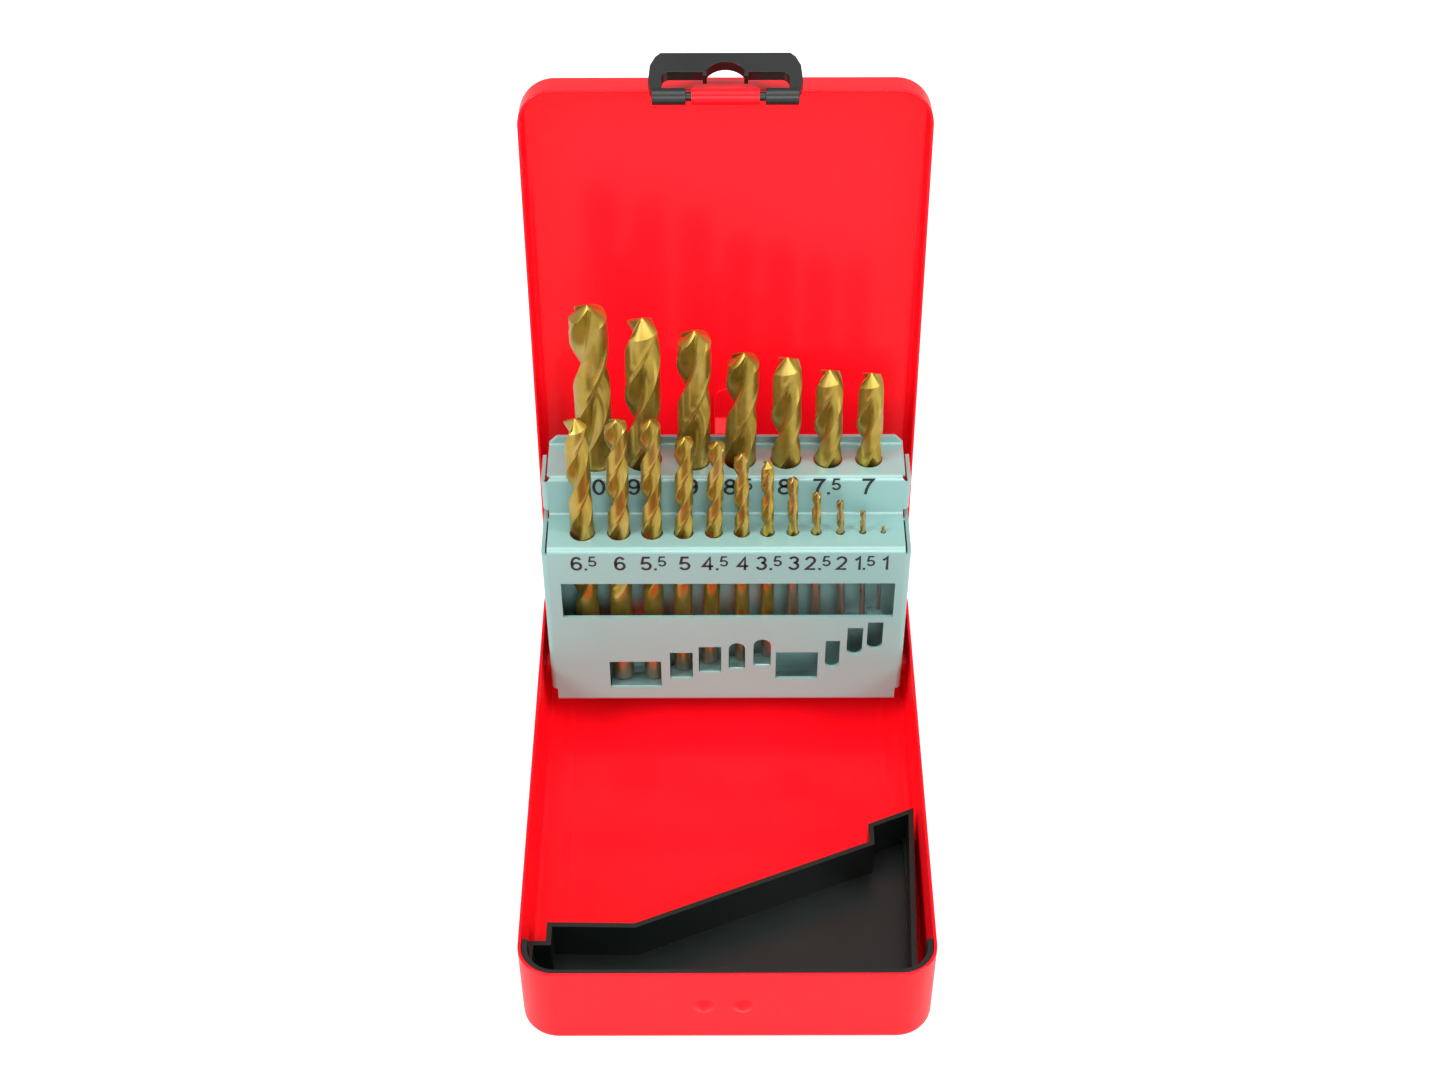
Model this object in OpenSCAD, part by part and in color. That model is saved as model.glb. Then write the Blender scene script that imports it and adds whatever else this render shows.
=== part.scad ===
// Hinged sheet-metal case for nineteen twist drills, shown open: the lid leans back and
// the stepped drill rack stands upright. Millimetres, +Z up, +Y towards the hinge.
// The origin is the middle of the base's underside.

/* [Case] */
// Width of the base and the lid over their side walls
case_w = 105; // [104:0.5:120]
// Length from the front wall of the base to the hinge line
case_l = 145.5; // [144:0.5:160]
// Height of the base tray
base_h = 28; // [27:0.5:34]
// Depth of the lid tray
lid_h = 10; // [8:0.5:16]
// Thickness of the case's sheet steel
sheet_t = 0.8; // [0.6:0.1:1]
// Radius of the upright corners of both trays
corner_r = 9.5; // [8:0.5:14]
// Radius of the bent edge round the base floor and the lid panel
edge_r = 2.6; // [2:0.1:4]
// Gap between the closed lid's rim and the base's rim
rim_gap = 0.4; // [0.3:0.05:0.8]
// Angle through which the lid has been opened
lid_open = 98; // [90:1:104]
// Depth by which the floor's middle panel is pressed down
panel_step = 0.4; // [0.2:0.05:0.5]
// Width of the floor margin beside the pressed panel
panel_margin = 8; // [6:0.5:12]

/* [Hinge] */
// Radius of the hinge pin
pin_r = 0.8; // [0.7:0.05:1]
// Wall of the rolled knuckles
knuckle_t = 0.75; // [0.6:0.05:1]
// Distance from the back walls to the pin's axis
hinge_back = 2.1; // [2:0.1:3]
// Length of each of the base's two knuckles
base_knuckle_l = 20; // [12:1:24]
// Length of the lid's knuckle between them
lid_knuckle_l = 26; // [16:1:30]
// End gap between neighbouring knuckles
knuckle_gap = 0.3; // [0.2:0.05:0.6]
// Radial clearance of a turning pin in its bore
running_gap = 0.07; // [0.04:0.01:0.1]

/* [Latch] */
// Distance of the latch loop's axis below the lid's rim plane
loop_drop = 10; // [9:0.25:12]
// Outer radius of the rolled latch loop
loop_r = 2; // [1.8:0.1:2.4]
// Radius of the bail's stub pins
stub_r = 1.1; // [0.9:0.05:1.2]
// Width of the latch loop
loop_w = 16.6; // [14:0.2:20]
// Gap between the latch tongue and the base's front wall
tongue_gap = 0.6; // [0.5:0.1:1]
// Width of the bail
bail_w = 38; // [34:0.2:42]
// Distance from the bail's axis to its far edge
bail_l = 12.6; // [12:0.1:16]
// Thickness of the bail
bail_t = 3; // [2.4:0.1:3.2]
// Angle of the resting bail behind the plane of the lid
bail_lean = 65; // [50:1:75]
// Distance between the two pressed nibs on the base's front wall
nib_pitch = 9.8; // [9:0.2:12]
// Distance of the nibs' middle to the right of the case's middle
nib_shift = -1; // [-1.2:0.1:1.2]
// Height of the nibs above the underside
nib_z = 14.9; // [14:0.1:14.9]
// Radius of a nib at the wall
nib_r = 2.8; // [2.2:0.1:3]
// Height by which a nib stands out of the wall
nib_h = 1.2; // [0.8:0.1:1.2]

/* [Rack] */
// Gap between the rack's cheeks and the base's side walls
rack_side_gap = 2.2; // [1.7:0.1:2.7]
// Thickness of the rack's sheet steel
rack_t = 1; // [0.8:0.1:1.2]
// Inner radius of the rack's bends
bend_r = 0.6; // [0.4:0.1:1]
// Distance from the hinge line to the front face of the rack
rack_back = 36; // [35:0.25:36.5]
// Height of the rack's lower edge above the underside
rack_z = 12; // [12:0.25:13]
// Height of the front plate
plate_h = 57.8; // [56:0.2:60]
// Height of the riser behind the front deck
riser_h = 12.5; // [11:0.1:15]
// Depth of the front deck
deck_1 = 14.6; // [14:0.1:16]
// Depth of the rear deck
deck_2 = 14.2; // [14:0.1:15]
// Height of the upstand along the back of the rear deck
upstand_h = 2.4; // [2.2:0.1:5]
// Slope of the tongues that carry the shanks
tongue_slope = 24; // [20:1:26]
// Distance of the rack's pivots in front of the hinge line
pivot_back = 22.9; // [22.5:0.1:23.2]
// Height of the rack's pivots above the underside
pivot_z = 14.9; // [14.5:0.1:15.2]
// Radius of the pivot rivets
rivet_r = 1.5; // [1.2:0.1:1.8]

/* [Drills] */
// Distance from the front plate to the front row of drills
row_1 = 7; // [6.5:0.1:7.5]
// Distance from the front plate to the rear row of drills
row_2 = 22.4; // [22:0.1:22.6]
// Radial clearance of a drill in its deck hole
hole_gap = 0.2; // [0.1:0.05:0.35]
// Gap between the rear drills' feet and the base floor
foot_gap = 0.7; // [0.4:0.1:1.2]
// Helix angle of the flutes
helix = 28; // [24:1:32]

/* [Storage insert] */
// Wall of the moulded insert
insert_t = 1.4; // [1:0.1:2]
// Height of the insert's pocket wall
pocket_h = 13.4; // [9:0.2:13.6]
// Height of the insert's tall front band
band_h = 25.9; // [20:0.1:26]
// Gap between the insert and the base's walls
insert_gap = 0.2; // [0.1:0.05:0.5]

/* [Hidden] */
$fn = 48;

fit_overlap = 0.4;
hinge_z = base_h + rim_gap / 2;
base_l = case_l - hinge_back;
inner_w = case_w - 2 * sheet_t;
knuckle_r = pin_r + knuckle_t;
leaf_t = 0.6;
leaf_z = knuckle_r - leaf_t - 0.1;

tongue_y = case_l + tongue_gap;
loop_y = case_l + tongue_gap + loop_r - 0.05;
latch_root = 4;

rack_w = case_w - 2 * sheet_t - 2 * rack_side_gap;
// Share by which places across the rack and the case follow the case's width.
spread = rack_w / 99;
out_r = bend_r + rack_t;
cheek_x = rack_w / 2 - rack_t;
deck_x = rack_w / 2 - out_r;
rear_w = plate_h + riser_h;
cheek_foot = 5;
rivet_end_r = rivet_r + 0.9;
flange_d = rack_back - pivot_back - rivet_end_r - 0.45;
slit = 1.4;

// Each drill: diameter, overall length, flute length, place across the rack.
front_drills = [for (d = [
    [6.5, 95.5, 57, -38.6], [6, 92, 56, -28.8], [5.5, 92, 56, -19.9], [5, 83, 49, -11.4],
    [4.5, 79.3, 46, -3.3], [4, 74, 42, 4.2], [3.5, 70.2, 39, 11.1], [3, 58.5, 31, 17.9],
    [2.5, 53.5, 27, 24.2], [2, 46.5, 22, 30.7], [1.5, 38, 17, 36.7], [1, 30.5, 9.5, 42.2]])
    [d[0], d[1], d[2], spread * d[3]]];
rear_drills = [for (d = [
    [10, 131, 85, -34.9], [9.5, 127, 82, -22.1], [9, 123, 79, -8.7], [8.5, 116, 74, 3.7],
    [8, 114.5, 72.5, 16.1], [7.5, 110.5, 69, 27.4], [7, 109.5, 69, 38.4]])
    [d[0], d[1], d[2], spread * d[3]]];

// Each window under the front row: left, right, lower edge, upper edge, form, and the
// height of the edge that its tongue is bent from. Form 0 is square, 1 has an arched top
// and 2 a round bottom.
windows = [for (w = [
    [-32.8, -18.3, 5.5, 15.7, 0, 5.5], [-15.8, -9.4, 9, 19.2, 0, 9],
    [-7.7, -1.4, 11.3, 21.4, 0, 11.3], [0.7, 5.3, 12.6, 22.9, 1, 12.6],
    [7.6, 12.5, 13.9, 24.3, 1, 13.9], [13.9, 25.7, 8.8, 19.3, 0, 19.3],
    [27.7, 31.7, 13.3, 23.7, 2, 23.7], [33.6, 37.9, 18.3, 28.7, 2, 28.7],
    [39.1, 43.4, 20.5, 30.8, 2, 30.8]])
    [spread * w[0], spread * w[1], w[2], w[3], w[4], w[5]]];
// Which window's tongue carries each drill of the front row; -1 is the bottom flange.
shelf = [-1, 0, 0, 1, 2, 3, 4, 5, 5, 6, 7, 8];
long_window = [-44.8 * spread, 45.8 * spread, 32.8, 45.5];
tongue_l = 9;

// Points of the insert's pocket wall, round its back from the left wall to the front right:
// place across and distance behind the front wall.
wall_path = [for (p = [[-60, 21], [-46.8, 21], [-46.8, 27.1], [-24, 26.7], [38.2, 54.3],
    [38.2, 60.5], [50.8, 66.3], [47.8, -4.5]]) [spread * p[0], p[1] - case_l]];

steel_red = [0.89, 0.09, 0.12];
rack_blue = [0.66, 0.76, 0.77];
gold = [0.75, 0.6, 0.25];
bare_steel = [0.62, 0.6, 0.56];
black_plastic = [0.1, 0.11, 0.1];

function unit(v) = v / norm(v);
function side_normal(a, b) = let (d = unit(b - a)) [d[1], -d[0]];
// The corner b of the path a, b, c, moved by gap into the pocket.
function inset_point(a, b, c, gap) =
    let (n = side_normal(a, b), m = side_normal(b, c)) b + gap * (n + m) / (1 + n * m);
function inset_path(gap) = let (last = len(wall_path) - 1) [for (i = [0 : last])
    i == 0 ? wall_path[0] + gap * side_normal(wall_path[0], wall_path[1])
        : i == last ? wall_path[i] + gap * side_normal(wall_path[i - 1], wall_path[i])
        : inset_point(wall_path[i - 1], wall_path[i], wall_path[i + 1], gap)];

// A tongue bent from a window's upper edge has its underside on that edge.
function tongue_root(w) = w[5] + (w[5] > w[2] ? rack_t : 0);
function tongue_top(d, w) = rack_z + tongue_root(w) - (row_1 - d / 2 - rack_t) * tan(tongue_slope);
function front_foot(i) = shelf[i] < 0 ? rack_z + rack_t + 0.1
    : tongue_top(front_drills[i][0], windows[shelf[i]]) + 0.1;
function rear_foot() = sheet_t + foot_gap;

module hinge_frame() translate([0, case_l / 2, 0]) children();
module lid_frame() hinge_frame() translate([0, 0, hinge_z]) rotate([-lid_open, 0, 0]) children();
module bar_x(r, l) rotate([0, 90, 0]) cylinder(r = r, h = l, center = true);

// One corner of a tray: an upright post with a rounded lower edge.
module corner_post(r, e, h) rotate_extrude($fn = 32) {
    square([r - e, h]);
    translate([0, e]) square([r, h - e]);
    translate([r - e, e]) circle(e, $fn = 24);
}

module rounded_block(w, l, h, r, e) hull()
    for (x = [-1, 1], y = [-1, 1])
        translate([x * (w / 2 - r), y * (l / 2 - r), 0]) corner_post(r, e, h);

module rounded_rect(w, l, r) {
    square([w - 2 * r, l], center = true);
    square([w, l - 2 * r], center = true);
    for (x = [-1, 1], y = [-1, 1]) translate([x * (w / 2 - r), y * (l / 2 - r)]) circle(r);
}

// The open tray that base and lid share, floor down.
module tray(h) difference() {
    rounded_block(case_w, base_l, h, corner_r, edge_r);
    translate([0, 0, sheet_t])
        rounded_block(case_w - 2 * sheet_t, base_l - 2 * sheet_t, h, corner_r - sheet_t,
            edge_r - sheet_t);
}

module front_nib() {
    ball_r = (nib_r * nib_r + nib_h * nib_h) / (2 * nib_h);
    intersection() {
        translate([0, ball_r - nib_h, 0]) sphere(ball_r);
        translate([-nib_r, -2 * nib_h, -nib_r]) cube([2 * nib_r, 2 * nib_h + sheet_t / 2, 2 * nib_r]);
    }
}

// A knuckle of the case's hinge with the leaf that joins it to a back wall at -hinge_back.
module knuckle(l, side) {
    bar_x(knuckle_r, l);
    translate([-l / 2, -hinge_back - fit_overlap, side > 0 ? leaf_z : -leaf_z - leaf_t])
        cube([l, hinge_back + fit_overlap, leaf_t]);
}

module base_shell() color(steel_red) hinge_frame() difference() {
    union() {
        translate([0, -hinge_back - base_l / 2, panel_step]) tray(base_h - panel_step);
        translate([0, -hinge_back - base_l / 2, 0]) linear_extrude(sheet_t)
            rounded_rect(case_w - 2 * panel_margin, base_l - 2 * panel_margin, corner_r);
        for (s = [-1, 1]) {
            translate([nib_shift + s * nib_pitch / 2, -case_l, nib_z]) front_nib();
            translate([s * (lid_knuckle_l + base_knuckle_l) / 2, 0, hinge_z])
                knuckle(base_knuckle_l - 2 * knuckle_gap, -1);
        }
    }
    translate([0, -hinge_back - base_l / 2, sheet_t]) linear_extrude(4 * sheet_t)
        rounded_rect(case_w - 2 * panel_margin - 2 * sheet_t,
            base_l - 2 * panel_margin - 2 * sheet_t, corner_r - sheet_t);
    translate([0, 0, hinge_z]) bar_x(pin_r, case_w);
    translate([0, -pivot_back, pivot_z]) bar_x(rivet_r, 2 * case_w);
}

module latch_tongue() {
    translate([-loop_w / 2, -tongue_y - sheet_t, -loop_drop])
        cube([loop_w, sheet_t, loop_drop + latch_root]);
    translate([-loop_w / 2, -tongue_y - fit_overlap, rim_gap / 2 + 1])
        cube([loop_w, tongue_gap + 2 * fit_overlap, latch_root - rim_gap / 2 - 1]);
    translate([0, -loop_y, -loop_drop]) bar_x(loop_r, loop_w);
}

module lid_shell() color(steel_red) lid_frame() difference() {
    union() {
        translate([0, -hinge_back - base_l / 2, rim_gap / 2 + lid_h]) mirror([0, 0, 1]) tray(lid_h);
        knuckle(lid_knuckle_l - 2 * knuckle_gap, 1);
        latch_tongue();
    }
    bar_x(pin_r + running_gap, case_w);
    translate([0, -loop_y, -loop_drop]) bar_x(stub_r + running_gap, 2 * loop_w);
}

module hinge_pin() color(bare_steel) hinge_frame() translate([0, 0, hinge_z])
    bar_x(pin_r, lid_knuckle_l + 2 * base_knuckle_l);

// The strap welded on the lid's panel, its lower end stepped out towards the rack.
strap_w = 6.4;
strap_top = 56;
strap_bend = 46.5;
strap_toe = 37;
strap_rise = 4;
module lid_strap() color(steel_red) lid_frame()
    translate([0, 0, rim_gap / 2 + lid_h - sheet_t]) {
        translate([0, strap_w / 2 - strap_top, -sheet_t]) cylinder(r = strap_w / 2, h = sheet_t);
        translate([-strap_w / 2, strap_w / 2 - strap_top, -sheet_t])
            cube([strap_w, strap_top - strap_bend - strap_w / 2, sheet_t]);
        translate([-strap_w / 2, 0, 0]) rotate([90, 0, 90]) linear_extrude(strap_w) polygon([
            [-strap_bend - 0.5, 0], [-strap_bend, 0], [-strap_bend + 3, -strap_rise],
            [-strap_toe, -strap_rise], [-strap_toe, -strap_rise - sheet_t],
            [-strap_bend + 2.6, -strap_rise - sheet_t], [-strap_bend - 0.5, -sheet_t]]);
    }

bail_arm = 3.3;
barrel_l = 8.2;
bail_slot = 6.5;
bail_arch_r = 5.4;
bail_nib = 1.2;
bail_nib_w = 1;
module bail_outline() difference() {
    polygon([[-bail_w / 2 + 1, 0], [bail_w / 2 - 1, 0], [bail_w / 2, 3.5],
        [bail_w / 2 - 0.4, bail_l - 4], [bail_w / 2 - 1.7, bail_l - 1.2],
        [bail_w / 2 - 3, bail_l], [3 - bail_w / 2, bail_l], [1.7 - bail_w / 2, bail_l - 1.2],
        [0.4 - bail_w / 2, bail_l - 4], [-bail_w / 2, 3.5]]);
    difference() {
        union() {
            translate([bail_arm - bail_w / 2, -1]) square([bail_w - 2 * bail_arm, bail_slot + 1 - 2]);
            translate([bail_arm + 2 - bail_w / 2, -1])
                square([bail_w - 2 * bail_arm - 4, bail_slot + 1]);
            for (s = [-1, 1]) translate([s * (bail_w / 2 - bail_arm - 2), bail_slot - 2]) circle(2);
            intersection() {
                translate([0, bail_slot - 2.2]) circle(bail_arch_r);
                translate([-bail_arch_r, bail_slot - 0.5]) square([2 * bail_arch_r, 6]);
            }
        }
        for (s = [-1, 1]) translate([s * (bail_arch_r - 0.3) - bail_nib_w / 2, bail_slot - bail_nib])
            square([bail_nib_w, bail_nib + 0.1]);
    }
}

module latch_bail() color(black_plastic) lid_frame() translate([0, -loop_y, -loop_drop])
    rotate([90 - bail_lean, 0, 0]) {
        translate([0, bail_t / 2, 0]) rotate([90, 0, 0]) linear_extrude(bail_t) bail_outline();
        for (s = [-1, 1]) {
            translate([s * (bail_w / 2 - 1 - barrel_l / 2), 0, 0]) bar_x(loop_r, barrel_l);
            translate([s * (bail_w / 2 - 1 - barrel_l), 0, 0]) bar_x(stub_r, 8);
        }
    }

// A quarter of a bend about the point c; turn is the corner's direction.
module bend(c, turn) translate(c) intersection() {
    difference() {
        circle(out_r);
        circle(bend_r);
    }
    rotate(turn) square(out_r + 1);
}

// The bent sheet of the rack from the side: distance behind the plate, height.
module rack_profile() {
    back = deck_1 + deck_2;
    translate([out_r, 0]) square([flange_d - out_r, rack_t]);
    bend([out_r, out_r], 180);
    translate([0, out_r]) square([rack_t, plate_h - 2 * out_r]);
    bend([out_r, plate_h - out_r], 90);
    translate([out_r, plate_h - rack_t]) square([deck_1 - out_r - bend_r, rack_t]);
    bend([deck_1 - bend_r, plate_h + bend_r], 270);
    translate([deck_1, plate_h + bend_r]) square([rack_t, riser_h - out_r - bend_r]);
    bend([deck_1 + out_r, rear_w - out_r], 90);
    translate([deck_1 + out_r, rear_w - rack_t]) square([deck_2 - out_r - bend_r, rack_t]);
    bend([back - bend_r, rear_w + bend_r], 270);
    translate([back, rear_w + bend_r]) square([rack_t, upstand_h - bend_r]);
}

// The cheek below the front deck, with the ear round the pivot.
cheek_d = 26;
ear_r = 4.2;
module lower_cheek() {
    ear = [rack_back - pivot_back, pivot_z - rack_z];
    polygon([[out_r, cheek_foot], [out_r, plate_h - slit], [cheek_d, plate_h - slit],
        [cheek_d, plate_h - 18], [ear[0] + ear_r + 1.5, ear[1] + 12], [ear[0] + ear_r, ear[1]],
        [ear[0] - ear_r, ear[1]], [ear[0] - ear_r - 3, cheek_foot]]);
    translate(ear) circle(ear_r);
}
module upper_cheek() translate([deck_1 + out_r, plate_h + slit])
    square([cheek_d - deck_1 - out_r, riser_h - 2 * slit]);

// Extrudes a side outline across the rack from x0 to x1.
module across(x0, x1) translate([x0, 0, 0]) rotate([90, 0, 90]) linear_extrude(x1 - x0) children();

module window_cut(w) {
    wide = w[1] - w[0];
    mid = (w[0] + w[1]) / 2;
    low = w[2] + (w[4] == 2 ? wide / 2 : 0);
    high = w[3] - (w[4] == 1 ? wide / 2 : 0);
    translate([w[0], -1, low]) cube([wide, rack_t + 2, high - low]);
    if (w[4] == 2) translate([mid, rack_t + 1, low]) rotate([90, 0, 0]) cylinder(d = wide, h = rack_t + 2);
    if (w[4] == 1) translate([mid, rack_t + 1, high]) rotate([90, 0, 0]) cylinder(d = wide, h = rack_t + 2);
}

module tongue(w) translate([w[0] + 0.2, rack_t, tongue_root(w)]) rotate([-tongue_slope, 0, 0])
    translate([0, -0.5, -rack_t]) cube([w[1] - w[0] - 0.4, tongue_l, rack_t]);

upstand_chamfer = 2.2;
relief_r = 0.8;
module drill_rack() color(rack_blue) hinge_frame() translate([0, -rack_back, rack_z]) {
    difference() {
        union() {
            across(-deck_x, deck_x) rack_profile();
            for (s = [-1, 1]) {
                across(s * (cheek_x + rack_t / 2) - rack_t / 2, s * (cheek_x + rack_t / 2) + rack_t / 2) {
                    lower_cheek();
                    upper_cheek();
                }
                mirror([s < 0 ? 1 : 0, 0, 0]) {
                    translate([0, 0, cheek_foot]) linear_extrude(plate_h - cheek_foot - 2.2)
                        bend([deck_x, out_r], 270);
                    translate([0, deck_1, plate_h + slit]) linear_extrude(riser_h - 2 * slit)
                        bend([deck_x, out_r], 270);
                }
            }
        }
        for (w = windows) window_cut(w);
        translate([long_window[0], -1, long_window[2]])
            cube([long_window[1] - long_window[0], rack_t + 2, long_window[3] - long_window[2]]);
        for (d = front_drills) translate([d[3], row_1, plate_h - 2 * rack_t])
            cylinder(r = d[0] / 2 + hole_gap, h = 3 * rack_t);
        for (d = rear_drills) translate([d[3], row_2, rear_w - 2 * rack_t])
            cylinder(r = d[0] / 2 + hole_gap, h = 3 * rack_t);
        for (s = [-1, 1]) {
            translate([s * deck_x, deck_1 + 0.9, rear_w - 3]) cylinder(r = relief_r, h = 4);
            translate([s * deck_x, deck_1 + deck_2 + rack_t / 2, rear_w + upstand_h]) rotate([0, 45, 0])
                cube([upstand_chamfer * sqrt(2), 3 * rack_t, upstand_chamfer * sqrt(2)], center = true);
        }
        translate([0, rack_back - pivot_back, pivot_z - rack_z]) bar_x(rivet_r + running_gap, 2 * rack_w);
    }
    for (w = windows) tongue(w);
}

// The inner sheet behind the front row, welded between the cheeks under the front deck, with
// a lower part that passes between the pivots and is bent forward to the bottom flange.
divider_foot = 6;
divider_low = 0.3;
divider_low_w = 2 * (cheek_x - 3);
divider_t = 0.8;
divider_gap = 0.15;
module rack_divider() color(rack_blue) hinge_frame()
    translate([0, deck_1 - bend_r - divider_t - rack_back, rack_z]) {
        translate([-cheek_x, 0, divider_foot])
            cube([2 * cheek_x, divider_t, plate_h - rack_t - divider_foot]);
        translate([-divider_low_w / 2, 0, divider_low])
            cube([divider_low_w, divider_t, divider_foot - divider_low + 1]);
        reach = deck_1 - bend_r - divider_t - flange_d - divider_gap;
        translate([-divider_low_w / 2, -reach, divider_low])
            cube([divider_low_w, reach + divider_t, divider_t]);
    }

// The two shouldered rivets that carry the rack's cheeks on the base's side walls.
rivet_head_r = 3;
rivet_head_t = 0.3;
shoulder_r = 2.6;
shoulder_gap = 0.2;
module rack_pivots() color(steel_red) hinge_frame() translate([0, -pivot_back, pivot_z])
    for (s = [0, 1]) mirror([s, 0, 0]) rotate([0, 90, 0]) {
        translate([0, 0, case_w / 2]) cylinder(r = rivet_head_r, h = rivet_head_t);
        translate([0, 0, cheek_x - 0.6]) cylinder(r = rivet_r, h = case_w / 2 - cheek_x + 0.6);
        translate([0, 0, rack_w / 2 + shoulder_gap])
            cylinder(r = shoulder_r, h = inner_w / 2 - rack_w / 2 - shoulder_gap);
        translate([0, 0, cheek_x - 0.2 - 0.8]) cylinder(r = rivet_end_r, h = 0.8);
    }

module inner_outline(gap) translate([0, -hinge_back - base_l / 2])
    rounded_rect(inner_w - 2 * gap, base_l - 2 * sheet_t - 2 * gap, corner_r - sheet_t - gap);

module pocket_outline(edge_gap, gap) intersection() {
    inner_outline(edge_gap);
    polygon(concat(inset_path(gap), [[-case_w, -case_l - 4.5]]));
}

// The pocket's foot is drawn in to clear the bend between the base's floor and walls.
foot_in = edge_r - sheet_t + insert_gap;
foot_h = edge_r - sheet_t;
module pocket_block(edge_gap, gap, low) {
    translate([0, 0, low]) linear_extrude(foot_h + 0.1) pocket_outline(edge_gap + foot_in, gap);
    translate([0, 0, low + foot_h]) linear_extrude(pocket_h - foot_h)
        pocket_outline(edge_gap + insert_gap + 0.1, gap);
}

band_back = 12;
nub_w = 5;
module storage_insert() color(black_plastic) hinge_frame()
    translate([0, 0, panel_step + sheet_t + 0.1]) {
        difference() {
            pocket_block(0, 0, 0);
            pocket_block(insert_t, insert_t, insert_t);
        }
        difference() {
            translate([0, 0, foot_h]) linear_extrude(band_h - foot_h) inner_outline(insert_gap);
            linear_extrude(band_h + 1) inner_outline(insert_gap + insert_t);
            translate([-case_w, band_back - case_l, 0]) cube([2 * case_w, case_l, band_h + 1]);
        }
        translate([-nub_w / 2, sheet_t + insert_gap + insert_t / 2 - case_l, band_h - 1.6])
            cube([nub_w, insert_t, 1.6]);
    }

// Half of a fluted section: angle and share of the radius, over the land and the flute.
land_and_flute = [[-32, 1], [-11, 1], [11, 1], [32, 1], [48, 0.62], [72, 0.34], [102, 0.27],
    [128, 0.45]];
module drill_section(r) polygon([for (turn = [0, 180], p = land_and_flute)
    r * p[1] * [cos(turn + p[0]), sin(turn + p[0])]]);

// A twist drill standing on its shank end: plain shank, two twisted flutes, ground point.
module twist_drill(d, long, flute) {
    lead = PI * d / tan(helix);
    point = d / 2 * tan(31);
    shank = long - flute;
    twisted = flute - point + fit_overlap;
    turn = twisted / lead * 360;
    cylinder(d = d, h = shank);
    translate([0, 0, shank - fit_overlap])
        linear_extrude(twisted, twist = -turn, slices = ceil(turn / 30), $fn = 16)
            drill_section(0.98 * d / 2);
    translate([0, 0, long - point - 0.02 * d]) rotate(turn)
        linear_extrude(point + 0.02 * d, scale = 0.12, $fn = 16) drill_section(0.95 * d / 2);
}

module front_drill(i) color(gold) hinge_frame()
    translate([front_drills[i][3], row_1 - rack_back, front_foot(i)])
        twist_drill(front_drills[i][0], front_drills[i][1], front_drills[i][2]);
module rear_drill(i) color(gold) hinge_frame()
    translate([rear_drills[i][3], row_2 - rack_back, rear_foot()])
        twist_drill(rear_drills[i][0], rear_drills[i][1], rear_drills[i][2]);

base_shell();
lid_shell();
hinge_pin();
lid_strap();
latch_bail();
drill_rack();
rack_divider();
rack_pivots();
storage_insert();
rear_drill(0);  // drill_10_0
rear_drill(1);  // drill_9_5
rear_drill(2);  // drill_9_0
rear_drill(3);  // drill_8_5
rear_drill(4);  // drill_8_0
rear_drill(5);  // drill_7_5
rear_drill(6);  // drill_7_0
front_drill(0);  // drill_6_5
front_drill(1);  // drill_6_0
front_drill(2);  // drill_5_5
front_drill(3);  // drill_5_0
front_drill(4);  // drill_4_5
front_drill(5);  // drill_4_0
front_drill(6);  // drill_3_5
front_drill(7);  // drill_3_0
front_drill(8);  // drill_2_5
front_drill(9);  // drill_2_0
front_drill(10);  // drill_1_5
front_drill(11);  // drill_1_0
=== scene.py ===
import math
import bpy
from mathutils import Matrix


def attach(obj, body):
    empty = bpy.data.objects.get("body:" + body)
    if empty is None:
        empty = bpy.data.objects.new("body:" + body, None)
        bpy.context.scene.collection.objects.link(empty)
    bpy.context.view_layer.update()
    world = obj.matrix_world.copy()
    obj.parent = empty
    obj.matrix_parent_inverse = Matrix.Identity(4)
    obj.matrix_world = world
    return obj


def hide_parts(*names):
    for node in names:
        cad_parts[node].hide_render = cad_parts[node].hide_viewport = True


bl_info = {
    "name": "Drill bit case",
    "version": (1, 0, 0),
    "blender": (4, 5, 0),
    "location": "3D View > Sidebar > Drill case",
    "description": "Dresses a red sheet-metal drill bit case: trays, rack, numerals, drills, latch",
    "category": "Add Mesh",
}

import bmesh
import bpy
from bpy.props import FloatProperty, FloatVectorProperty, IntProperty, PointerProperty
from mathutils import Matrix, Vector

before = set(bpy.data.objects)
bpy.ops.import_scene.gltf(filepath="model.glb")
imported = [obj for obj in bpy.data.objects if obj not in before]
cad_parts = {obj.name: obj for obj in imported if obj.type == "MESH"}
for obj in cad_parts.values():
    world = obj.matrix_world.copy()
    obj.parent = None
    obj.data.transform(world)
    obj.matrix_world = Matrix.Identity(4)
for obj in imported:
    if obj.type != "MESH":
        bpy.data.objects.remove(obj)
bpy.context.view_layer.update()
MM = 0.001

# The lengths below are in millimetres. HINGE is the hinge line's place and height, and
# "behind the plate" and "above the edge" are measured from the rack's lower front edge.
HINGE = (72.75, 28.2)
LID_OPEN = 98
CASE_W, CASE_L, BASE_H, LID_H, SHEET = 105, 145.5, 28, 10, 0.8
BACK = 2.1
RACK_Y, RACK_Z = HINGE[0] - 36, 12
PLATE_H, RISER_H, DECK_1 = 57.8, 12.5, 14.6
# Floor of the base beside its pressed panel, and the closed lid's gap above the hinge line.
BASE_FLOOR, LID_GAP = 0.4, 0.2
# Pressed dimples of the front wall: places across, height, radius and rise.
DIMPLES_X, DIMPLE_Z, DIMPLE_R, DIMPLE_RISE = (-5.9, 3.9), 14.9, 3.1, 1.2
# Rolled hinge knuckles: middle radius, thickness, wrap in degrees, and half lengths.
KNUCKLE_R, KNUCKLE_T, KNUCKLE_TURN = 1.17, 0.62, 318
KNUCKLES_X, BASE_KNUCKLE, LID_KNUCKLE = (-23, 23), 9.7, 12.7
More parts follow.
